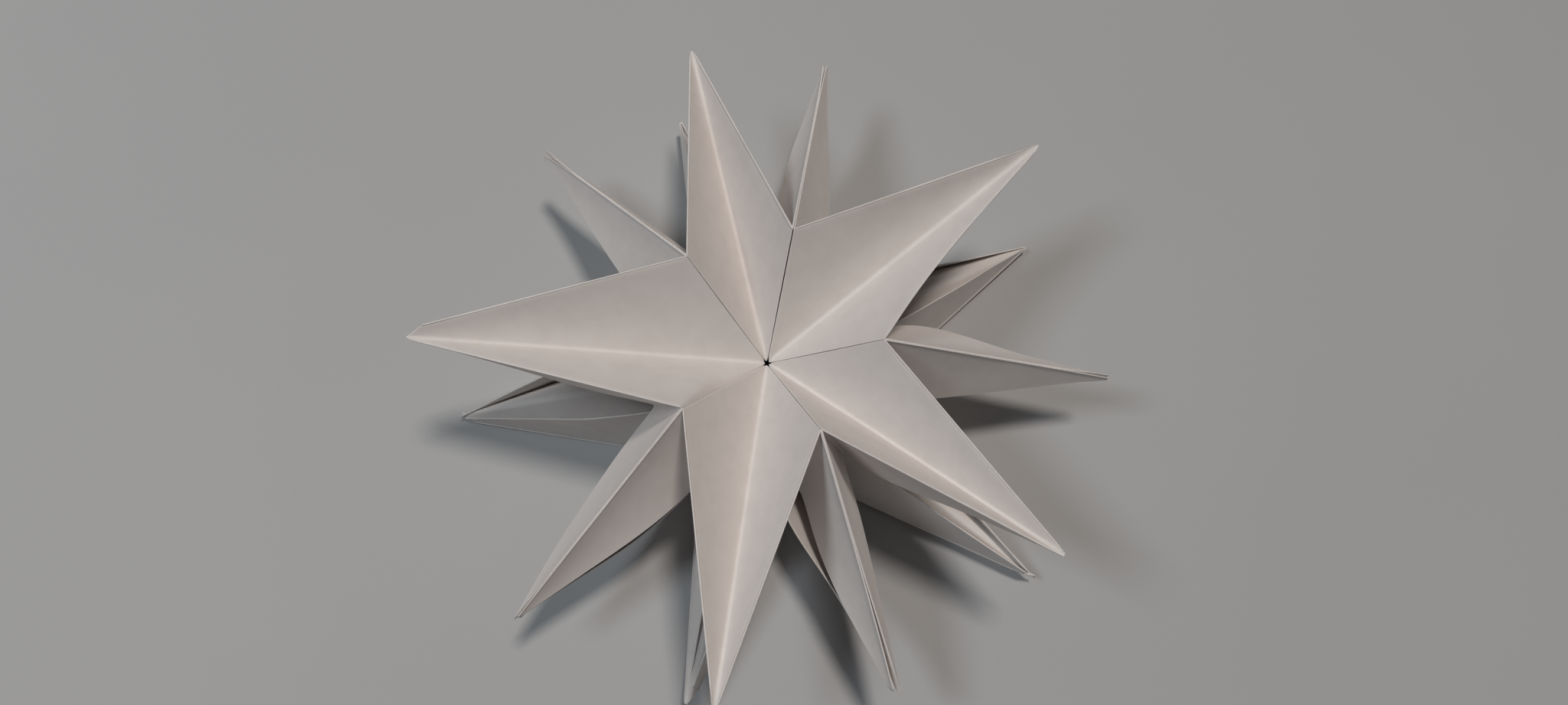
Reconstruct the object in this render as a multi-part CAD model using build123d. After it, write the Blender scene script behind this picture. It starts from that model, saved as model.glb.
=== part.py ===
from build123d import *
from math import cos, radians, sin, sqrt
import numpy as np
import os

# A standing star with fifteen points, folded from five square sheets of card.
# Every sheet is folded alike. Its centre goes to the middle of the star and its four corners become points:
# one in the top ring, one in the low ring below it, and one on each side, glued back to back with the next sheet.
# All lengths are in millimetres and all angles in degrees. Z is up and the star stands on the surface z = 0.

# Driving dimensions of one sheet
sheet_side = 100.0
sheet_thickness = 0.3
tip_trim = 1.4           # how far a corner of the sheet stops short of its true point, along the diagonal
tip_thickness = 0.1      # the card at the very tips, where its folds are pressed together
press_length = 4.0       # the stretch at each tip over which the card is pressed thinner
foot_trim = 0.12         # how much of each lowest fold corner is pressed flat where the star stands

# Where the points lie, seen from the middle of the star. The sheets are folded by hand, so no two lie alike.
# A bearing is counted from +X towards +Y, a rise is counted up from the level plane through the middle.
top_bearing = (38.0, 105.0, 182.5, 264.0, 323.5)
top_rise = (13.5, 8.0, 16.0, 11.0, 13.0)
low_bearing = (31.5, 109.0, 186.5, 258.0, 324.5)
low_rise = (-15.5, -13.0, -16.5, -11.0, -13.5)
seam_bearing = (81.0, 136.0, 228.0, 292.0, 359.5)
seam_rise = (0.5, -2.5, -2.0, -0.5, -2.0)

# The upper and lower ends of the folds between the points. The lower ones are level, and carry the star.
upper_fold_bearing = (77.0, 137.0, 226.5, 299.0, 357.0)
upper_fold_rise = (44.5, 44.0, 43.0, 42.5, 41.0)
lower_fold_bearing = (80.0, 137.0, 227.0, 295.5, 358.0)
lower_fold_rise = -45.0

# Lengths on the flat sheet that follow from its side
half_diagonal = sheet_side / sqrt(2)
fold_reach = half_diagonal * (sqrt(2) - 1)        # from the sheet's centre to where three folds meet
fold_tail = half_diagonal * (1 - sqrt(0.5))       # from there on to the middle of the sheet's edge
half_edge = sheet_side / 2

unit_count = len(top_bearing)
centre = Vector(0, 0, 0)


def from_middle(length, bearing, rise):
    """The place at this length from the middle of the star, in this direction."""
    level = length * cos(radians(rise))
    return Vector(
        level * cos(radians(bearing)),
        level * sin(radians(bearing)),
        length * sin(radians(rise)),
    )


def along(start, end, length):
    """The place at this length from start on the straight line to end."""
    return start + (end - start).normalized() * length


def edge_middle(fold_end, corner, next_corner):
    """Where the middle of the sheet's edge comes to lie, half_edge from both corners and fold_tail from fold_end."""
    span = next_corner - corner
    middle = (corner + next_corner) * 0.5
    out = fold_end - middle
    out = out - span.normalized() * out.dot(span.normalized())
    height = sqrt(half_edge**2 - (span.length / 2) ** 2)
    level = (out.length**2 + height**2 - fold_tail**2) / (2 * out.length)
    drop = sqrt(max(height**2 - level**2, 0.0))
    inward = out.normalized().cross(span.normalized()).normalized()
    if inward.dot(fold_end - centre) > 0:
        inward = inward * -1
    return middle + out.normalized() * level + inward * drop


def unit_corners(index):
    """Where the four corners of one folded sheet come to lie: top, left, low and right."""
    before = (index - 1) % unit_count
    return (
        from_middle(half_diagonal, top_bearing[index], top_rise[index]),
        from_middle(half_diagonal, seam_bearing[index], seam_rise[index]),
        from_middle(half_diagonal, low_bearing[index], low_rise[index]),
        from_middle(half_diagonal, seam_bearing[before], seam_rise[before]),
    )


def point_facets(corner, middle, fold_end, edge):
    """The facets on one side of a point's long fold: half a kite and its flap, each with its tip apart."""
    slants = (1.0, cos(radians(22.5)), cos(radians(45)))
    lines = (middle, fold_end, edge)
    tips = [along(corner, end, tip_trim / slant) for end, slant in zip(lines, slants)]
    press = [along(corner, end, (tip_trim + press_length) / slant) for end, slant in zip(lines, slants)]
    facets = []
    for i in range(2):
        facets.append((lines[i], press[i], press[i + 1], lines[i + 1]))
        facets.append((press[i], tips[i], tips[i + 1], press[i + 1]))
    return facets


def unit_facets(index):
    """The flat facets of one folded sheet, each as a loop of corners seen from outside."""
    before = (index - 1) % unit_count
    corners = unit_corners(index)
    upper_left = from_middle(fold_reach, upper_fold_bearing[index], upper_fold_rise[index])
    upper_right = from_middle(fold_reach, upper_fold_bearing[before], upper_fold_rise[before])
    lower_left = from_middle(fold_reach, lower_fold_bearing[index], lower_fold_rise)
    lower_right = from_middle(fold_reach, lower_fold_bearing[before], lower_fold_rise)

    fold_ends = (upper_left, lower_left, lower_right, upper_right)
    facets = []
    for side in range(4):
        fold_end = fold_ends[side]
        near = corners[side]
        far = corners[(side + 1) % 4]
        edge = edge_middle(fold_end, near, far)
        facets += point_facets(near, centre, fold_end, edge)
        facets += [loop[::-1] for loop in point_facets(far, centre, fold_end, edge)]
    return facets


def normal_of(loop):
    """The outward direction of a flat facet."""
    return (loop[1] - loop[0]).cross(loop[2] - loop[0]).normalized()


def key_of(point):
    """A name for a place, the same for all the facets that meet there."""
    return (round(point.X, 5), round(point.Y, 5), round(point.Z, 5))


def inner_points(facets, corners):
    """Each corner of the sheet moved inwards, to lie one thickness under every facet that meets there."""
    normals = {}
    for loop in facets:
        for point in loop:
            normals.setdefault(key_of(point), []).append(tuple(normal_of(loop)))
    inner = {}
    for key, rows in normals.items():
        at_tip = min((Vector(*key) - corner).length for corner in corners) < 2 * tip_trim
        wanted = np.full(len(rows), -(tip_thickness if at_tip else sheet_thickness))
        shift = np.linalg.lstsq(np.array(rows), wanted, rcond=0.05)[0]
        inner[key] = Vector(*key) + Vector(*[float(value) for value in shift])
    return inner


def rim_edges(facets):
    """The sides of facets that no other facet shares: the raw edge of the sheet."""
    sides = []
    for loop in facets:
        sides += [(key_of(loop[i]), key_of(loop[(i + 1) % len(loop)])) for i in range(len(loop))]
    shared = set(sides)
    return [side for side in sides if (side[1], side[0]) not in shared]


def triangles(loop):
    """A four-cornered loop as two triangles, so that each is flat."""
    return [Face(Wire.make_polygon((loop[0], loop[i], loop[i + 1]))) for i in range(1, len(loop) - 1)]


def folded_sheet(index):
    """One folded sheet as a closed solid: its outer facets, its inner facets and its raw edge."""
    facets = unit_facets(index)
    inner = inner_points(facets, unit_corners(index))
    faces = []
    for loop in facets:
        faces += triangles([Vector(*key_of(point)) for point in loop])
        faces += triangles([inner[key_of(point)] for point in reversed(loop)])
    for start, end in rim_edges(facets):
        faces += triangles([Vector(*end), Vector(*start), inner[start], inner[end]])
    return Solid(Shell(faces)).clean()


# The lowest fold corners are pressed flat in one level plane, which the star stands on.
foot_level = -fold_reach * sin(radians(-lower_fold_rise)) + foot_trim
under_feet = Pos(0, 0, foot_level) * Box(
    2 * sheet_side, 2 * sheet_side, sheet_side, align=(Align.CENTER, Align.CENTER, Align.MAX)
)
sheets = [folded_sheet(index) - under_feet for index in range(unit_count)]

# The origin is under the middle of the star's outline, on the surface it stands on.
outline = Compound(children=[Compound(sheet.solids()) for sheet in sheets]).bounding_box()
to_origin = Pos(-outline.center().X, -outline.center().Y, -foot_level)

os.makedirs("parts", exist_ok=True)
for index, sheet in enumerate(sheets):
    export_step(to_origin * sheet.solid(), f"parts/folded_sheet_{index + 1}.step")
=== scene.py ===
import bpy
import numpy as np
from mathutils import Matrix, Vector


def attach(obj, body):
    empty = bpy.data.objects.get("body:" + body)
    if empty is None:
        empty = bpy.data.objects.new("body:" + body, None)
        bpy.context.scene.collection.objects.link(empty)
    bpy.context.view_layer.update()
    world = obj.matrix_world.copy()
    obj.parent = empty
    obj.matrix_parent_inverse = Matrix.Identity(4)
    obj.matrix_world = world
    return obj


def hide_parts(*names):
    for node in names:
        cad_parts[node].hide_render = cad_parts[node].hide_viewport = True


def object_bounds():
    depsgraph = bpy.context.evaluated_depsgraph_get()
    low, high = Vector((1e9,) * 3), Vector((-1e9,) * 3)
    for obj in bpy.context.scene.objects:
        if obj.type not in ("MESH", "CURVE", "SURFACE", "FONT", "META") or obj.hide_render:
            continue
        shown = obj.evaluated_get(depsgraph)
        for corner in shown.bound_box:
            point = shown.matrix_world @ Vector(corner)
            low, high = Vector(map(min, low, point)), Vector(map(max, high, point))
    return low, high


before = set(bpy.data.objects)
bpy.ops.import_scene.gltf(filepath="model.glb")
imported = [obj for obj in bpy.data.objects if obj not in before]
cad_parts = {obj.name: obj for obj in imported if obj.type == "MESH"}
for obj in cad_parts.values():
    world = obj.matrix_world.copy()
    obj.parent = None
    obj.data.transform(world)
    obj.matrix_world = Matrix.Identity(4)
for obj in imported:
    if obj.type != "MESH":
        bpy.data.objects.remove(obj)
cadBox = [list(corner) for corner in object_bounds()]
print("frame loaded:", ", ".join(sorted(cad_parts)))

mm = 0.001
farAway = 99.0          # mm, further than anything on a sheet
tiny = 1e-6             # mm, taken as nothing
kiteAngle = 22.5        # degrees on the flat sheet between a point's crease and its ridge

# The star as a whole: five square sheets of card, and the folds that two neighbours share. Bearings are
# counted from +X towards +Y and rises from the level plane through the star's middle, in degrees.
star = {
    "sheetSide": 100.0,                                  # mm, all five sheets
    "cardThickness": 0.3,                                # mm
    "footTrim": 0.12,                                    # mm pressed flat under the lowest corners
    "cornerCut": 1.4,                                    # mm that the frame's corners are cut short
    "seamBearing": (81.0, 136.0, 228.0, 292.0, 359.5),   # side points, left of sheets 1 to 5
    "seamRise": (0.5, -2.5, -2.0, -0.5, -2.0),
    "upperBearing": (77.0, 137.0, 226.5, 299.0, 357.0),  # where the slits end above
    "upperRise": (44.5, 44.0, 43.0, 42.5, 41.0),
    "lowerBearing": (80.0, 137.0, 227.0, 295.5, 358.0),  # where the slits end below
    "lowerRise": -45.0,
    "upperSlit": (0.17, 0.06, 0.08, 0.05, 0.05),         # mm open at the slit's end, seam by seam
    "lowerSlit": (0.10, 0.15, 0.10, 0.20, 0.10),
    "glueLine": 0.03,                                    # mm between two glued sheets
    "middleGap": 0.055,                                  # mm that each sheet keeps off the star's axis
    "middleHole": 0.36,                                  # mm more that it keeps off right at the middle
    "middleReach": 0.8,                                  # mm from the middle over which that dies away
}

# Lengths on the flat sheet, in mm
halfDiagonal = star["sheetSide"] / np.sqrt(2)
foldReach = halfDiagonal * (np.sqrt(2) - 1)     # from its middle to where three folds meet, at a slit's end
foldTail = halfDiagonal * (1 - np.sqrt(0.5))    # from there to the middle of its edge
halfEdge = star["sheetSide"] / 2


def fromMiddle(length, bearing, rise):
    # A place seen from the star's middle: level length times cosine and sine of the bearing, then its height.
    level = length * np.cos(np.radians(rise))
    return np.array([level * np.cos(np.radians(bearing)), level * np.sin(np.radians(bearing)),
                     length * np.sin(np.radians(rise))])


def unit(vector):
    # The same way at length 1.
    return vector / np.linalg.norm(vector)


def edgeMiddle(foldEnd, corner, nextCorner):
    # The middle of a sheet's edge, half an edge from both corners and foldTail from foldEnd, on the inner side.
    span = nextCorner - corner
    middle = (corner + nextCorner) / 2
    out = foldEnd - middle
    out = out - unit(span) * (out @ unit(span))
    height = np.sqrt(max(halfEdge ** 2 - (span @ span) / 4, 0.0))
    reach = np.linalg.norm(out)
    level = (reach ** 2 + height ** 2 - foldTail ** 2) / (2 * reach)
    drop = np.sqrt(max(height ** 2 - level ** 2, 0.0))
    inward = unit(np.cross(unit(out), unit(span)))
    inward = inward if inward @ foldEnd < 0 else -inward
    return middle + unit(out) * level + inward * drop


def seamPlaces(seam, sign):
    # The side point and both slit ends of one seam, each moved off the seam's plane by half its gap.
    tip = fromMiddle(halfDiagonal, star["seamBearing"][seam], star["seamRise"][seam])
    upper = fromMiddle(foldReach, star["upperBearing"][seam], star["upperRise"][seam])
    lower = fromMiddle(foldReach, star["lowerBearing"][seam], star["lowerRise"])
    across = unit(np.cross([0, 0, 1], unit(tip * [1, 1, 0])))
    least = star["glueLine"] / 2
    return (tip + across * sign * least,
            upper + across * sign * (least + star["upperSlit"][seam] / 2),
            lower + across * sign * (least + star["lowerSlit"][seam] / 2))


def sheetPlaces(number, sheet):
    # The folded places of one sheet's creases: middle, four corners, four slit ends and four edge middles.
    left, upperLeft, lowerLeft = seamPlaces(number - 1, -1)
    right, upperRight, lowerRight = seamPlaces((number - 2) % 5, 1)
    top = fromMiddle(halfDiagonal, *sheet["top"])
    low = fromMiddle(halfDiagonal, *sheet["low"])
    corners = [top, left, low, right]
    bends = [upperLeft, lowerLeft, lowerRight, upperRight]
    edges = [edgeMiddle(bends[i], corners[i], corners[(i + 1) % 4]) for i in range(4)]
    middle = unit(top * [1, 1, 0] + low * [1, 1, 0]) * star["middleGap"]
    return {"middle": middle, "corners": corners, "bends": bends, "edges": edges}


# The grid of one corner's fan. Shares run from a fold to the next fold, close together beside the folds.
nearFolds = np.array([0, .003, .008, .015, .025, .038, .055, .078, .108, .148, .2, .265, .34, .42, .5])
kiteShares = np.concatenate([nearFolds, 1 - nearFolds[-2::-1]])
flapShares = np.array([0, .004, .010, .019, .032, .050, .075, .11, .16, .23, .32, .42, .53, .64, .75, .85,
                       .925, .968, .989, .997, 1])
outShares = np.array([0, .0012, .003, .0055, .009, .0135, .02, .029, .042, .06, .085, .115, .15, .19, .23, .27,
                      .31, .35, .39, .43, .47, .51, .55, .59, .63, .67, .71, .75, .79, .825, .86, .89, .917,
                      .94, .96, .976, .988, .996, 1])


def flatPlaces():
    # The same places on the flat sheet: its middle at zero, top and low corners on X, side corners on Y.
    turn = np.radians(90.0 * np.arange(4))
    corners = halfDiagonal * np.stack([np.cos(turn), np.sin(turn)], 1)
    slant = turn + np.radians(45)
    ways = np.stack([np.cos(slant), np.sin(slant)], 1)
    return {"middle": np.zeros(2), "corners": list(corners), "bends": list(ways * foldReach),
            "edges": list(ways * halfEdge)}


def fanLines(places, corner):
    # The five lines that fan out from a corner: to the edge middles, the slit ends and the sheet's middle.
    before = (corner - 1) % 4
    return [places["edges"][before], places["bends"][before], places["middle"], places["bends"][corner],
            places["edges"][corner]]


def fanEnds(places, corner, ends):
    # Where the five lines of a fan stop: short of the corner by the first number of mm, along the line, and
    # beside it by the second, in the plane of the facet between the line and its neighbour nearer the middle.
    lines, tip = fanLines(places, corner), places["corners"][corner]
    stops = []
    for i, neighbour in enumerate((1, 2, 1, 2, 3)):
        way = unit(lines[i] - tip)
        arm = lines[neighbour] - tip
        stops.append(tip + way * ends[i][0] - unit(arm - way * (arm @ way)) * ends[i][1])
    return stops


def fanGrid(places, flat, corner, ends):
    # A fan is base + (stop - base) * out: base runs through the far ends of the five lines in straight
    # stretches, stop runs through their near ends in the same shares, and out goes from 0 to 1.
    shares = [1 - flapShares[::-1], 1 - kiteShares[::-1], kiteShares, flapShares]
    onLine = np.concatenate([i + shares[i][(1 if i else 0):] for i in range(4)])
    grids = []
    for spots in (places, flat):
        base, stop = [np.stack([np.interp(onLine, range(5), axis) for axis in np.array(five).T], 1)
                      for five in (fanLines(spots, corner), fanEnds(spots, corner, ends))]
        grids.append(base[:, None, :] + (stop - base)[:, None, :] * outShares[None, :, None])
    onLine, out = np.broadcast_arrays(onLine[:, None], outShares[None, :])
    return grids[0], grids[1], onLine, out


# How the listed bulges of the facets run. Their heights are with each sheet.
bulge = {
    "rise": 1.5,            # how slowly a bulge starts at the middle of the sheet
    "fall": 4,              # how late it ends towards the tip
    "flapLoss": 0.4,        # share of a ridge's draw that its flap has lost at the raw edge
    "none": (0.0, 0.4),     # mm, and the share of the way out where it is greatest
}


def facetNormal(a, b, c):
    # Square to the two sides that leave the first corner.
    return unit(np.cross(b - a, c - a))


def swell(out, peak):
    # Rises from 0 at the middle of the sheet to 1 at the peak and falls to 0 at the tip.
    return (out / peak * np.exp(1 - out / peak)) ** bulge["rise"] * (1 - out ** bulge["fall"])


def bowOf(places, corner, onLine, out, bows):
    # The four facets of a fan bulge along their own normals, each by mm and the place along the fan where it
    # is greatest, or by two such pairs. Its two ridges draw in towards the crease by one pair. A kite half
    # bulges by sine across and a flap by its share towards the raw edge squared. A ridge takes its flap
    # along, and its kite half by the share from the crease squared.
    lines = fanLines(places, corner)
    tip = places["corners"][corner]
    moved = np.zeros(onLine.shape + (3,))
    names = ("flapBefore", "kiteBefore", "kiteAfter", "flapAfter")
    for i, bow in enumerate(bows.get(name, bulge["none"]) for name in names):
        inside = (onLine >= i) & (onLine <= i + 1)
        share = np.clip(onLine - i, 0, 1)
        across = np.sin(np.pi * share) if i in (1, 2) else (share if i == 3 else 1 - share) ** 2
        along = sum(amount * swell(out, peak) for amount, peak in zip(bow[::2], bow[1::2]))
        moved += np.where(inside, across * along, 0)[:, :, None] * facetNormal(lines[i], tip, lines[i + 1])
    for name, line in (("ridgeBefore", 1), ("ridgeAfter", 3)):
        amount, peak = bows.get(name, bulge["none"])
        way = unit(lines[line] - tip)
        inward = lines[2] - tip
        inward = unit(inward - way * (inward @ way))
        share = np.clip(2 - onLine if line == 1 else onLine - 2, 0, 2)       # 0 at the crease, 1 at the ridge
        across = np.where(share <= 1, share ** 2, 1 - bulge["flapLoss"] * (share - 1))
        moved += (amount * across * swell(out, peak))[:, :, None] * inward
    return moved


def creasesOf():
    # Every crease of a sheet as: kind, number, where it starts and ends, and a place on the facet at its
    # right and at its left. Valleys and ridges run to a cut end, given by its fan and line.
    found = []
    for i in range(4):
        after, before = (i + 1) % 4, (i - 1) % 4
        found.append(("valley", i, ("middle", 0), (i, 2), ("bends", before), ("bends", i)))
        found.append(("slit", i, ("middle", 0), ("bends", i), ("corners", i), ("corners", after)))
        found.append(("tail", i, ("bends", i), ("edges", i), ("corners", i), ("corners", after)))
        found.append(("ridge", 2 * i, ("bends", i), (i, 3), ("edges", i), ("middle", 0)))
        found.append(("ridge", 2 * i + 1, ("bends", i), (after, 1), ("middle", 0), ("edges", i)))
    return found


def placeOf(places, key, ends=None):
    # A place by its name and number, or the cut end of a line by the numbers of its fan and line.
    if isinstance(key[0], str):
        return places["middle"] if key[0] == "middle" else places[key[0]][key[1]]
    return fanEnds(places, key[0], ends[key[0]])[key[1]]


# Folds, in mm. A soft fold is an arc of its radius, and a slow curve of some reach beside it takes a share of
# its turn. A ridge is pressed almost shut to a nose of its radius, and its flap has settled at some distance
# from it. A fold takes up to a share of the room from its start to just beyond its end, so it narrows there.
cardFolds = {
    "valley": {"radius": 0.65, "slowReach": 8.0, "slowShare": 0.08, "roomShare": 0.3, "beyond": 1.4},
    "slit": {"radius": 0.12, "slowReach": 6.0, "slowShare": 0.03, "roomShare": 0.3, "beyond": 2.4,
             "fade": 1.2},
    "tail": {"radius": 0.45, "slowReach": 5.0, "slowShare": 0.10, "roomShare": 0.3, "beyond": farAway},
    "ridge": {"radius": 0.11, "settled": 4.0, "roomShare": 0.12, "beyond": 1.4},
}


def arcChange(across, room, opening, fold):
    # A sharp crease made an arc that touches both facets, plus the slow curve. Returned along the line that
    # halves the opening and along the line from one facet to the other.
    inwards, sideways = np.zeros(len(across)), np.zeros(len(across))
    for reachMost, share in ((fold["radius"] / np.tan(opening), 1 - fold["slowShare"]),
                             (fold["slowReach"], fold["slowShare"])):
        reach = np.minimum(reachMost, room * fold["roomShare"])
        near = (np.abs(across) < reach) & (reach > tiny)
        span = np.where(near, reach, 1.0)
        bend = span * np.tan(opening)
        turn = across / span * (np.pi / 2 - opening)
        drawn = bend / np.sin(opening) - bend * np.cos(turn) - np.abs(across) * np.cos(opening)
        inwards += np.where(near, drawn, 0) * share
        sideways += np.where(near, bend * np.sin(turn) - across * np.sin(opening), 0) * share
    return inwards, sideways


def noseChange(onFlap, onKite, room, opening, fold):
    # The kite keeps its plane up to a round nose, and the flap leaves the nose one nose's width away and
    # meets its own plane further on. Returned along the kite and square to it.
    distance = onFlap + onKite
    size = np.minimum(fold["radius"], room * fold["roomShare"])
    calm = np.clip(1 - (distance / fold["settled"]) ** 2, 0, 1) ** 2
    draw = np.sqrt(distance ** 2 + size ** 2) - distance - size * calm      # keeps the nose at the crease
    full = 2 * opening
    width = 2 * size * np.minimum(distance / np.maximum(size, tiny), 1.0)
    rise = onFlap * np.sin(full)
    lifted = (rise ** 4 + np.where(onFlap > 0, width, 0) ** 4) ** 0.25
    alongKite = np.where(onFlap > 0, draw * np.cos(full), draw)
    squareTo = (lifted - rise) * calm + np.where(onFlap > 0, draw * np.sin(full), 0)
    return alongKite, squareTo


def roundedFolds(places, flat, plane, sheet):
    # Every crease rounded in turn by what its arc or nose changes, and the distances to the nearest valley
    # and to the nearest other fold. The opening is half the angle between a crease's two facets.
    moved = np.zeros((len(plane), 3))
    nearest = {"valley": np.full(len(plane), farAway), "ridge": np.full(len(plane), farAway)}
    for kind, number, startKey, endKey, rightKey, leftKey in creasesOf():
        start2, end2 = placeOf(flat, startKey), placeOf(flat, endKey, sheet["ends"])
        start3, end3 = placeOf(places, startKey), placeOf(places, endKey, sheet["ends"])
        way2, way3 = unit(end2 - start2), unit(end3 - start3)
        length = np.linalg.norm(end2 - start2)
        along = (plane - start2) @ way2
        across = (plane - start2) @ np.array([-way2[1], way2[0]])       # positive on the left
        arms = []
        for key in (rightKey, leftKey):
            arm = placeOf(places, key) - start3
            arms.append(unit(arm - way3 * (arm @ way3)))
        opening = np.arctan2(np.linalg.norm(arms[1] - arms[0]), np.linalg.norm(arms[0] + arms[1]))
        fold = cardFolds[kind] | sheet["folds"].get((kind, number), {})
        room = np.clip(np.minimum(along, length + fold["beyond"] - along), 0, None)
        near = (along >= 0) & (along <= length + tiny)
        if kind == "ridge":
            kiteOnLeft = number % 2 == 0
            kiteArm, flapArm = (arms[1], arms[0]) if kiteOnLeft else (arms[0], arms[1])
            onFlap = np.clip(-across if kiteOnLeft else across, 0, None)
            onKite = np.clip(across if kiteOnLeft else -across, 0, None)
            square = unit(flapArm - kiteArm * (flapArm @ kiteArm))
            near = near & (onFlap + onKite < fold["settled"])
            first, second = noseChange(onFlap, onKite, room, opening, fold)
            change = first[:, None] * kiteArm + second[:, None] * square
        else:
            first, second = arcChange(across, room, opening, fold)
            change = first[:, None] * unit(arms[0] + arms[1]) + second[:, None] * unit(arms[1] - arms[0])
        if kind == "slit":                                              # dies away past its end, not at it
            fade = np.clip(1 - (along - length) / fold["fade"], 0, 1) ** 2
            change, near = change * np.where(along > length, fade, 1)[:, None], along >= 0
        moved += np.where(near[:, None], change, 0)
        beyond = np.clip(-along, 0, None) + np.clip(along - length, 0, None)
        group = "valley" if kind == "valley" else "ridge"
        nearest[group] = np.minimum(nearest[group], np.hypot(across, beyond))
    return moved, nearest


# How the two sheets of a side point come apart near its tip.
sideTip = {
    "gap": (0.7, 1.2, 0.25, 1.1, 0.45),     # mm between its two corners, seam by seam
    "power": (9, 10, 6, 3, 6),              # how late on the way out it starts to open
    "fade": 1.3,                            # mm from a ridge over which the kite beside it follows
    "kiteWidth": foldTail + 0.6,            # mm across half a kite, where it is widest
    "kiteEnd": 1.05,                        # the share of the way out at which that width would be nothing
}


def partedEnds(number, grid, corner, onLine, out):
    # A side point's two sheets part near its tip, off the seam's plane by half the gap times a power of out.
    # Both flaps move, and the kite between them less and less with the distance from its ridge.
    if corner in (0, 2):
        return grid
    seam, sign = (number - 1, -1) if corner == 1 else ((number - 2) % 5, 1)
    bearing = np.radians(star["seamBearing"][seam])
    across = np.array([-np.sin(bearing), np.cos(bearing), 0])
    fromRidge = np.clip(1 - np.abs(onLine - 2), 0, 1) * sideTip["kiteWidth"] * (sideTip["kiteEnd"] - out)
    amount = sideTip["gap"][seam] / 2 * out ** sideTip["power"][seam] * np.exp(-fromRidge / sideTip["fade"])
    return grid + across * sign * amount[:, :, None]


def openMiddle(solid, plane, sheet):
    # The sheet keeps further off the star's axis at the very middle, by a bell curve of the distance from
    # there.
    away = unit(fromMiddle(1, sheet["top"][0], 0) + fromMiddle(1, sheet["low"][0], 0))
    bell = np.exp(-(np.linalg.norm(plane, axis=1) / star["middleReach"]) ** 2)
    return solid + away * star["middleHole"] * bell[:, None]


weldStep = 1e-4         # mm, places closer than this on the flat sheet are one


def weldGrids(grids):
    # All grids as one list of places, with places that are the same on the flat sheet made one.
    plane = np.concatenate([grid.reshape(-1, 2) for grid in grids])
    rounded = np.round(plane / weldStep).astype(np.int64)
    first, index = np.unique(rounded, axis=0, return_index=True, return_inverse=True)[1:]
    quads, offset = [], 0
    for grid in grids:
        rows, columns = grid.shape[:2]
        number = index.ravel()[offset:offset + rows * columns].reshape(rows, columns)
        quad = np.stack([number[:-1, :-1], number[:-1, 1:], number[1:, 1:], number[1:, :-1]], -1)
        quads.append(quad.reshape(-1, 4))
        offset += rows * columns
    return first, np.concatenate(quads)


def vertexNormals(places, quads):
    # The sum of the normals of the faces around each place, from the cross product of their diagonals.
    normal = np.cross(places[quads[:, 2]] - places[quads[:, 0]], places[quads[:, 3]] - places[quads[:, 1]])
    summed = np.zeros_like(places)
    for column in range(4):
        np.add.at(summed, quads[:, column], normal)
    return summed / np.maximum(np.linalg.norm(summed, axis=1, keepdims=True), tiny ** 2)


pressing = {
    "thinnest": 0.4,        # share of the card's thickness that is left at a ridge
    "reach": 1.6,           # mm from there to where the card has all of it
}


def cardShell(places, quads, toRidge):
    # The outer face, the inner face one card's thickness below it, and the raw edge that joins them. The card
    # is pressed thinner at its ridges.
    normals = vertexNormals(places, quads)
    pressed = pressing["thinnest"] + (1 - pressing["thinnest"]) * np.clip(toRidge / pressing["reach"], 0, 1)
    inner = places - normals * (star["cardThickness"] * pressed)[:, None]
    count = len(places)
    starts = quads.ravel()
    stops = np.roll(quads, -1, axis=1).ravel()
    forward = starts * count + stops
    backward = stops * count + starts
    rim = ~np.isin(forward, backward)
    a, b = starts[rim], stops[rim]
    faces = np.concatenate([quads, quads[:, ::-1] + count, np.stack([b, a, a + count, b + count], 1)])
    return np.concatenate([places, inner]), faces


def meshOf(name, places, faces, origin, flat, distances):
    # The mesh in metres, with the flat sheet as its UV map from 0 to 1 and each distance as an attribute.
    mesh = bpy.data.meshes.new(name)
    mesh.vertices.add(len(places))
    mesh.vertices.foreach_set("co", ((places + origin) * mm).astype(np.float32).ravel())
    mesh.loops.add(faces.size)
    mesh.loops.foreach_set("vertex_index", faces.astype(np.int32).ravel())
    mesh.polygons.add(len(faces))
    mesh.polygons.foreach_set("loop_start", np.arange(0, faces.size, 4, dtype=np.int32))
    mesh.update(calc_edges=True)
    mesh.validate(clean_customdata=False)
    layer = mesh.uv_layers.new(name="flatSheet")
    layer.data.foreach_set("uv", (flat[faces.ravel()] / star["sheetSide"] + 0.5).astype(np.float32).ravel())
    for key, values in distances.items():
        attribute = mesh.attributes.new(key, "FLOAT", "POINT")
        attribute.data.foreach_set("value", values.astype(np.float32))
    mesh.polygons.foreach_set("use_smooth", np.ones(len(mesh.polygons), bool))
    piece = bpy.data.objects.new(name, mesh)
    bpy.context.scene.collection.objects.link(piece)
    return piece


def rimDistance(plane, cutLines):
    # Distance on the flat sheet to its four edges and to the cut ends of its corners.
    reach = np.full(len(plane), farAway)
    for i in range(4):
        slant = np.radians(45 + 90 * i)
        reach = np.minimum(reach, halfEdge - plane @ np.array([np.cos(slant), np.sin(slant)]))
    for start, stop in cutLines:
        way = stop - start
        share = np.clip(((plane - start) @ way) / (way @ way), 0, 1)
        reach = np.minimum(reach, np.linalg.norm(plane - start - share[:, None] * way, axis=1))
    return np.clip(reach, 0, None)


def onGlued(plane):
    # The kites of the two side corners lie flat against the neighbours' kites, from the slits to their ridges.
    along, across = np.abs(plane[:, 1]), np.abs(plane[:, 0])
    return (across < along) & (across < (halfDiagonal - along) * np.tan(np.radians(kiteAngle)))


waves = {
    "count": 6,
    "shortest": 14,         # mm
    "longest": 42,          # mm
    "calmReach": 7,         # mm from a fold over which they die away
    "calmPower": 1.5,
}


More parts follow.
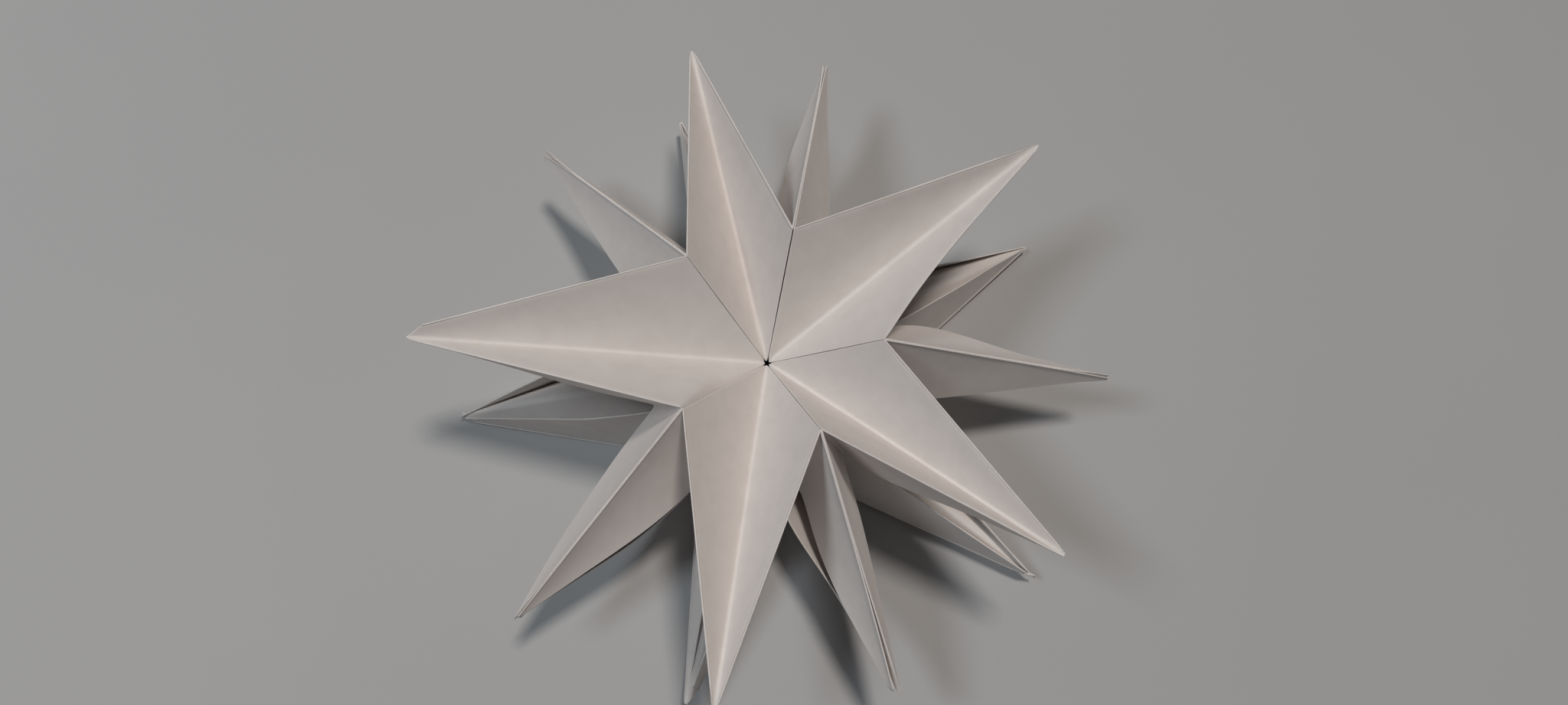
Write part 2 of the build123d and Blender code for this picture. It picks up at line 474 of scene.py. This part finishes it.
def ripple(plane, seed, nearest):
    # Slow waves: sines with seeded ways, lengths and phases, quiet near the folds and where the card is glued.
    draw = np.random.default_rng(seed)
    total = np.zeros(len(plane))
    for wave in range(waves["count"]):
        way = draw.uniform(0, 2 * np.pi)
        length = draw.uniform(waves["shortest"], waves["longest"])
        phase = draw.uniform(0, 2 * np.pi)
        total += np.sin((plane @ np.array([np.cos(way), np.sin(way)])) * 2 * np.pi / length + phase)
    calm = np.clip(np.minimum(nearest["valley"], nearest["ridge"]) / waves["calmReach"], 0, 1)
    return total / waves["count"] * calm ** waves["calmPower"] * ~onGlued(plane)


def foldedSheet(number, sheet, origin):
    # One sheet: four fans bulged and parted, welded, every crease rounded, kept off the axis, moved along its
    # normals by the waves, given its thickness, and pressed flat where it would come below the floor.
    places, flat = sheetPlaces(number, sheet), flatPlaces()
    grids, solids, cutLines = [], [], []
    for corner in range(4):
        solid, plane, onLine, out = fanGrid(places, flat, corner, sheet["ends"][corner])
        solid = solid + bowOf(places, corner, onLine, out, sheet["bows"][corner])
        solid = partedEnds(number, solid, corner, onLine, out)
        grids.append(plane)
        solids.append(solid.reshape(-1, 3))
        stops = fanEnds(flat, corner, sheet["ends"][corner])
        cutLines += list(zip(stops[:-1], stops[1:]))
    first, quads = weldGrids(grids)
    plane = np.concatenate([grid.reshape(-1, 2) for grid in grids])[first]
    solid = np.concatenate(solids)[first]
    moved, nearest = roundedFolds(places, flat, plane, sheet)
    solid = solid + moved
    solid = openMiddle(solid, plane, sheet)
    solid = solid + vertexNormals(solid, quads) * ripple(plane, number, nearest)[:, None] * sheet["ripple"]
    rim = rimDistance(plane, cutLines)
    shell, faces = cardShell(solid, quads, nearest["ridge"])
    shell[:, 2] = np.maximum(shell[:, 2], -origin[2])
    distances = {"toRim": rim, "toValley": nearest["valley"], "toRidge": nearest["ridge"]}
    distances = {key: np.tile(values, 2) for key, values in distances.items()}
    return meshOf(sheet["name"], shell, faces, origin, np.tile(plane, (2, 1)), distances)


plainEnds = ((1.98, 0), (1.52, 0), (1.4, 0), (1.52, 0), (1.98, 0))

# The five sheets. Top and low are the bearing and rise of those two points. Ends, bows and folds go by
# corner: top, left, low, right. An end has mm short of the corner and mm beside it for the five lines of its
# fan, and before and after follow the same order: at the top from its right to its left, at the left corner
# from above to below, at the low corner from its left to its right, and at the right corner from below to
# above. A bow is mm and the share of the way out where it is greatest, once or twice. Folds are changes to
# cardFolds. Ripple is the waves' height in mm.
sheet1 = {
    "name": "sheet_1", "node": "folded_sheet_1",
    "top": (38.0, 13.5), "low": (31.5, -15.5),
    "ends": (((2.2, 0), (2.0, 0), (0.65, 0), (1.75, 0), (2.2, 0)),
             ((1.1, 0.45), (0.9, 0.1), (0.85, 0), (1.2, 0), (1.5, 0)),
             ((1.2, 0), (0.9, 0), (0.55, 0), (0.9, 0), (1.2, 0)),
             ((1.6, 0), (1.3, 0), (1.1, 0), (1.3, 0), (1.6, 0))),
    "bows": ({"ridgeBefore": (1.9, 0.45), "kiteBefore": (0.5, 0.4), "kiteAfter": (-0.3, 0.5)},
             {"flapBefore": (0.5, 0.4), "flapAfter": (-0.4, 0.4)},
             {"flapBefore": (-1.0, 0.35), "kiteBefore": (-1.3, 0.45),
              "kiteAfter": (-0.6, 0.4), "flapAfter": (0.4, 0.5)},
             {"flapBefore": (0.5, 0.3), "flapAfter": (2.4, 0.28)}),
    "folds": {}, "ripple": 0.25,
}
sheet2 = {
    "name": "sheet_2", "node": "folded_sheet_2",
    "top": (105.0, 8.0), "low": (109.0, -13.0),
    "ends": (((2.9, 0), (2.5, 0), (1.15, 0), (2.65, 0), (3.1, 0)),
             ((1.9, 0), (1.6, 0), (1.35, 0), (1.6, 0), (1.9, 0)),
             plainEnds,
             ((1.5, 0), (1.2, 0), (1.0, 0), (1.0, 0.1), (1.2, 0.45))),
    "bows": ({"flapBefore": (0.4, 0.3), "kiteBefore": (0.35, 0.4), "kiteAfter": (0.3, 0.5)},
             {"flapBefore": (0.5, 0.4), "flapAfter": (0.6, 0.3)},
             {"flapBefore": (0.3, 0.4), "kiteBefore": (-1.3, 0.5),
              "kiteAfter": (-0.8, 0.5), "flapAfter": (0.9, 0.4)},
             {"flapBefore": (-0.4, 0.3), "flapAfter": (1.3, 0.55)}),
    "folds": {}, "ripple": 0.25,
}
sheet3 = {
    "name": "sheet_3", "node": "folded_sheet_3",
    "top": (182.5, 16.0), "low": (186.5, -16.5),
    "ends": (((5.2, 1.2), (4.45, 1.2), (0.8, 0), (1.8, 0), (2.2, 0)),
             ((1.6, 0), (1.3, 0), (1.0, 0), (1.3, 0), (1.6, 0)),
             ((2.2, 0), (4.0, 0), (1.7, 1.2), (1.6, 0.4), (1.6, 1.0)),
             ((2.4, 0), (2.1, 0), (1.9, 0), (2.1, 0), (2.4, 0))),
    "bows": ({"kiteBefore": (-0.3, 0.5), "kiteAfter": (0.4, 0.4), "flapAfter": (0.5, 0.3)},
             {"flapBefore": (0.6, 0.4, 0.8, 0.75), "flapAfter": (0.5, 0.4)},
             {"flapBefore": (1.3, 0.4), "kiteBefore": (-0.3, 0.4),
              "kiteAfter": (-1.4, 0.45), "flapAfter": (0.9, 0.5)},
             {"flapBefore": (-0.8, 0.35), "flapAfter": (1.2, 0.35)}),
    "folds": {("slit", 0): {"radius": 3.0, "slowShare": 0.05}}, "ripple": 0.25,
}
sheet4 = {
    "name": "sheet_4", "node": "folded_sheet_4",
    "top": (264.0, 11.0), "low": (258.0, -11.0),
    "ends": (plainEnds,
             ((3.2, 0), (2.9, 0), (2.5, 0), (2.9, 0), (3.4, 0)),
             ((5.6, 0.3), (5.3, 0.2), (1.85, 0), (2.0, 0), (2.2, -0.6)),
             ((2.3, 0), (2.0, 0), (1.75, 0), (2.0, 0), (2.3, 0))),
    "bows": ({"flapBefore": (0.4, 0.4), "kiteBefore": (0.3, 0.5), "kiteAfter": (0.3, 0.4)},
             {"flapBefore": (-2.6, 0.15, 1.5, 0.55), "flapAfter": (2.1, 0.24)},
             {"kiteBefore": (-1.0, 0.5), "kiteAfter": (-1.5, 0.5), "flapAfter": (-1.2, 0.5)},
             {"flapBefore": (2.9, 0.4), "flapAfter": (2.2, 0.4)}),
    "folds": {}, "ripple": 0.25,
}
sheet5 = {
    "name": "sheet_5", "node": "folded_sheet_5",
    "top": (323.5, 13.0), "low": (324.5, -13.5),
    "ends": (((1.6, 0), (1.4, 0), (1.15, 0), (1.4, 0), (1.6, 0)),
             ((1.6, 0), (1.3, 0), (1.1, 0), (1.3, 0), (1.6, 0)),
             ((2.4, 0), (2.1, 0), (0.3, -1.0), (2.7, 0), (2.7, 0)),
             ((2.0, 0), (1.7, 0), (1.45, 0), (1.7, 0), (2.0, 0))),
    "bows": ({"flapBefore": (1.9, 0.25), "kiteBefore": (0.3, 0.4), "kiteAfter": (0.35, 0.5)},
             {"flapBefore": (0.3, 0.3), "flapAfter": (0.5, 0.4)},
             {"flapBefore": (0.7, 0.4), "kiteBefore": (-1.0, 0.5), "kiteAfter": (-0.2, 0.5)},
             {"flapBefore": (0.7, 0.3), "flapAfter": (0.9, 0.45)}),
    "folds": {}, "ripple": 0.25,
}
sheets = [sheet1, sheet2, sheet3, sheet4, sheet5]


class Shade:
    # One output of a node, with arithmetic that adds Math nodes.
    def __init__(self, graph, socket):
        self.graph, self.socket = graph, socket

    def math(self, operation, first, second):
        return self.graph.node("ShaderNodeMath", {"operation": operation}, {0: first, 1: second})

    def __add__(self, other): return self.math("ADD", self, other)
    def __radd__(self, other): return self.math("ADD", other, self)
    def __sub__(self, other): return self.math("SUBTRACT", self, other)
    def __rsub__(self, other): return self.math("SUBTRACT", other, self)
    def __mul__(self, other): return self.math("MULTIPLY", self, other)
    def __rmul__(self, other): return self.math("MULTIPLY", other, self)


class Graph:
    # A material's nodes, each added by one call: its type, settings and inputs, and the output to go on from.
    def __init__(self, name):
        self.material = bpy.data.materials.new(name)
        self.material.use_nodes = True
        self.tree = self.material.node_tree
        self.tree.nodes.clear()

    def node(self, kind, settings, inputs, output=0):
        made = self.tree.nodes.new(kind)
        for key, value in settings.items():
            setattr(made, key, value)
        for key, value in inputs.items():
            if isinstance(value, Shade):
                self.tree.links.new(value.socket, made.inputs[key])
            else:
                made.inputs[key].default_value = value
        return Shade(self, made.outputs[output]) if made.outputs else None

    def clamp(self, value, low, high):
        # 0 below low, 1 above high, smooth between.
        return self.node("ShaderNodeMapRange", {"interpolation_type": "SMOOTHSTEP"},
                         {"Value": value, "From Min": low, "From Max": high})

    def mix(self, share, first, second):
        # Two colours. A Mix node has them at inputs 6 and 7, and the mixed one at output 2.
        return self.node("ShaderNodeMix", {"data_type": "RGBA"}, {0: share, 6: first, 7: second}, 2)

    def noise(self, place, scale, detail, roughness):
        return self.node("ShaderNodeTexNoise", {"noise_dimensions": "3D"},
                         {"Vector": place, "Scale": scale, "Detail": detail, "Roughness": roughness})


# A pattern is waves in a metre, layers and roughness. A range is where a mask starts and where it is whole,
# and a reach is the same in mm from a line. A share is how much of a mask shows.
cardFinish = {
    "colour": (0.815, 0.765, 0.735, 1.0),           # warm white card
    "cloudColour": (0.780, 0.730, 0.700, 1.0),      # thinner places in the sheet
    "smudgeColour": (0.67, 0.610, 0.570, 1.0),      # handling
    "fibreAndHighlightColour": (0.90, 0.870, 0.845, 1.0),        # bare fibre and painted highlight along cuts and folds
    "clouds": (260.0, 4.0, 0.6),                    # thicker and thinner
    "fibres": (2600.0, 3.0, 0.6),
    "hands": (38.0, 3.0, 0.55),                     # where it was handled
    "chips": (1400.0, 2.0, 0.6),                    # where more fibre is bare
    "pulp": (900.0, 3.0, 0.5),                      # the grain of its surface
    "cloudRange": (0.35, 0.7),
    "fibreRange": (0.45, 0.75),
    "fibreShare": 0.25,
    "smudgeRange": (0.52, 0.78),
    "smudgeShare": 0.22,
    # The rim, ridge and valley bands are lighter: bare fibre along cuts and folds, and painted highlight where
    # light catches them.
    "rim": {"reach": (0.03, 0.22), "always": 0.35, "more": 0.35, "moreRange": (0.35, 0.6)},
    "ridge": {"reach": (0.03, 0.25), "always": 0.20, "more": 0.45, "moreRange": (0.4, 0.65)},
    "valley": {"reach": (0.1, 0.9), "always": 0.05, "more": 0.15, "moreRange": (0.4, 0.6)},
    "ridgeShare": 0.8,
    "roughness": 0.62,
    "cloudRoughness": 0.10,                         # more in the clouds
    "roughRange": (0.3, 0.7),
    "rimRoughness": 0.12,                           # more along the cuts
    "specular": 0.35,
    "fibreHeight": 0.6,
    "pulpHeight": 0.8,
    "bumpStrength": 0.25,
    "bumpDepth": 0.00006,                           # m
}


def fibreAndHighlightMask(graph, distance, pattern, lighterBand):
    # 1 at the line and 0 past its reach, times what is always lighter and more of it where the pattern is
    # strong: bare fibre and painted highlight.
    beside = 1 - graph.clamp(distance, *lighterBand["reach"])
    return beside * (lighterBand["always"] + lighterBand["more"] * graph.clamp(pattern, *lighterBand["moreRange"]))


def cardMaterial():
    # Clouds, fibres and handling over the card's colour, then bare fibre and painted highlight along its cuts
    # and folds.
    graph = Graph("white card")
    place = graph.node("ShaderNodeTexCoord", {}, {}, "Object")
    rim, valley, ridge = [graph.node("ShaderNodeAttribute", {"attribute_name": name}, {}, "Fac")
                          for name in ("toRim", "toValley", "toRidge")]
    clouds, fibres, hands, chips = [graph.noise(place, *cardFinish[name])
                                    for name in ("clouds", "fibres", "hands", "chips")]

    colour = graph.mix(graph.clamp(clouds, *cardFinish["cloudRange"]), cardFinish["colour"],
                       cardFinish["cloudColour"])
    fibreMask = graph.clamp(fibres, *cardFinish["fibreRange"]) * cardFinish["fibreShare"]
    colour = graph.mix(fibreMask, colour, cardFinish["cloudColour"])
    smudgeMask = graph.clamp(hands, *cardFinish["smudgeRange"]) * cardFinish["smudgeShare"]
    colour = graph.mix(smudgeMask, colour, cardFinish["smudgeColour"])
    # Raw edges lighter: bare fibre and painted highlight.
    rimFibreAndHighlightMask = fibreAndHighlightMask(graph, rim, chips, cardFinish["rim"])
    # Ridges lighter: fibre whitened by the fold and painted highlight.
    ridgeFibreAndHighlightMask = fibreAndHighlightMask(graph, ridge, chips, cardFinish["ridge"]) * cardFinish["ridgeShare"]
    # Valley folds lighter: bare fibre and painted highlight where light catches the fold.
    valleyFibreAndHighlightMask = fibreAndHighlightMask(graph, valley, hands, cardFinish["valley"])
    for mask in (rimFibreAndHighlightMask, ridgeFibreAndHighlightMask, valleyFibreAndHighlightMask):
        colour = graph.mix(mask, colour, cardFinish["fibreAndHighlightColour"])

    cloudy = graph.clamp(clouds, *cardFinish["roughRange"])
    rough = cardFinish["roughness"] + cardFinish["cloudRoughness"] * cloudy
    rough = rough + cardFinish["rimRoughness"] * rimFibreAndHighlightMask
    pulp = graph.noise(place, *cardFinish["pulp"])
    height = fibres * cardFinish["fibreHeight"] + pulp * cardFinish["pulpHeight"]
    bump = graph.node("ShaderNodeBump", {}, {"Strength": cardFinish["bumpStrength"],
                                             "Distance": cardFinish["bumpDepth"], "Height": height})
    shader = graph.node("ShaderNodeBsdfPrincipled", {},
                        {"Base Color": colour, "Roughness": rough, "Normal": bump,
                         "Specular IOR Level": cardFinish["specular"]})
    graph.node("ShaderNodeOutputMaterial", {}, {"Surface": shader})
    return graph.material


paleFloor = {
    "reach": 8.0,                           # m each way
    "colour": (0.50, 0.50, 0.50, 1),
    "cloudColour": (0.485, 0.485, 0.49, 1),
    "clouds": (6.0, 3.0, 0.55),
    "cloudRange": (0.3, 0.7),
    "roughness": 0.8,
}


def floorMaterial():
    # Two greys in soft clouds.
    graph = Graph("pale floor")
    place = graph.node("ShaderNodeTexCoord", {}, {}, "Object")
    tone = graph.clamp(graph.noise(place, *paleFloor["clouds"]), *paleFloor["cloudRange"])
    colour = graph.mix(tone, paleFloor["colour"], paleFloor["cloudColour"])
    shader = graph.node("ShaderNodeBsdfPrincipled", {},
                        {"Base Color": colour, "Roughness": paleFloor["roughness"]})
    graph.node("ShaderNodeOutputMaterial", {}, {"Surface": shader})
    return graph.material


def starMiddle():
    # The star's middle in mm: its points' box is centred on the frame's box, and its feet stand at 0.
    low, high = np.array(cadBox[0]) / mm, np.array(cadBox[1]) / mm
    ends = []
    for number, sheet in enumerate(sheets, 1):
        top, bottom = fromMiddle(halfDiagonal, *sheet["top"]), fromMiddle(halfDiagonal, *sheet["low"])
        seam = fromMiddle(halfDiagonal, star["seamBearing"][number - 1], star["seamRise"][number - 1])
        ends += [top, bottom, seam]
    ends = np.array(ends) * (1 - star["cornerCut"] / halfDiagonal)
    middle = (low + high) / 2 - (ends.min(0) + ends.max(0)) / 2
    middle[2] = foldReach * np.sin(np.radians(-star["lowerRise"])) - star["footTrim"]
    return middle


middle = starMiddle()
print("star's middle in mm:", np.round(middle, 3))
card = cardMaterial()
for number, sheet in enumerate(sheets, 1):
    piece = foldedSheet(number, sheet, middle)
    piece.data.materials.append(card)
    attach(piece, "root")
    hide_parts(sheet["node"])
    print(sheet["name"], "folded:", len(piece.data.polygons), "faces")

reach = paleFloor["reach"]
floorMesh = bpy.data.meshes.new("floor")
floorMesh.from_pydata([(-reach, -reach, 0), (reach, -reach, 0), (reach, reach, 0), (-reach, reach, 0)], [],
                      [(0, 1, 2, 3)])
floor = bpy.data.objects.new("floor", floorMesh)
bpy.context.scene.collection.objects.link(floor)
floor.data.materials.append(floorMaterial())
print("floor laid")

# Places and spreads in m, the sun's spread in radians, and power in the lamp's own unit.
lamps = {
    "overhead": {"kind": "SUN", "place": (0.18, 0.18, 0.97), "spread": 0.16, "power": 1.28,
                 "colour": (1.0, 0.925, 0.86)},
    "left": {"kind": "AREA", "place": (-0.56, -0.03, 0.85), "spread": 0.26, "power": 2.35,
             "colour": (0.84, 0.93, 1.0)},
}
lampAim = (0, 0, 0.02)                      # m, what the lamps point at
studio = {"colour": (0.96, 0.98, 1.0, 1), "strength": 0.055}
camera = {
    "fromMiddle": (4.43, -75.30, 226.60),   # mm from the star's middle
    "right": (0.9997, 0.0223, 0.003),       # its own X
    "back": (0.0044, -0.3242, 0.946),       # its own Z
    "lens": 27.07,                          # mm
    "sensor": 36.0,                         # mm
    "nearest": 0.01,                        # m
}


def setUp(name, data, right, back, place):
    # A lamp or camera at a place in m: X to the right, Z away from what it looks at, and Y square to both.
    holder = bpy.data.objects.new(name, data)
    turn = np.eye(4)
    turn[:3, 0], turn[:3, 1], turn[:3, 2], turn[:3, 3] = right, np.cross(back, right), back, place
    holder.matrix_world = Matrix(turn.tolist())
    bpy.context.scene.collection.objects.link(holder)
    return holder


for name, lamp in lamps.items():
    data = bpy.data.lights.new(name, lamp["kind"])
    if lamp["kind"] == "SUN":
        data.angle = lamp["spread"]
    else:
        data.shape, data.size = "DISK", lamp["spread"]
    data.energy, data.color = lamp["power"], lamp["colour"]
    place = np.array(lamp["place"])
    back = unit(place - np.array(lampAim))
    setUp(name, data, unit(np.cross([0, 0, 1], back)), back, place)
world = bpy.data.worlds.new("studio")
world.use_nodes = True
world.node_tree.nodes["Background"].inputs["Color"].default_value = studio["colour"]
world.node_tree.nodes["Background"].inputs["Strength"].default_value = studio["strength"]
bpy.context.scene.world = world
bpy.context.scene.view_settings.view_transform = "Standard"
print("lamps set")

cameraData = bpy.data.cameras.new("camera")
cameraData.lens, cameraData.sensor_width = camera["lens"], camera["sensor"]
cameraData.clip_start = camera["nearest"]
back, right = unit(np.array(camera["back"])), np.array(camera["right"])
right = unit(right - back * (right @ back))
place = (middle + np.array(camera["fromMiddle"])) * mm
bpy.context.scene.camera = setUp("camera", cameraData, right, back, place)
print("camera placed")
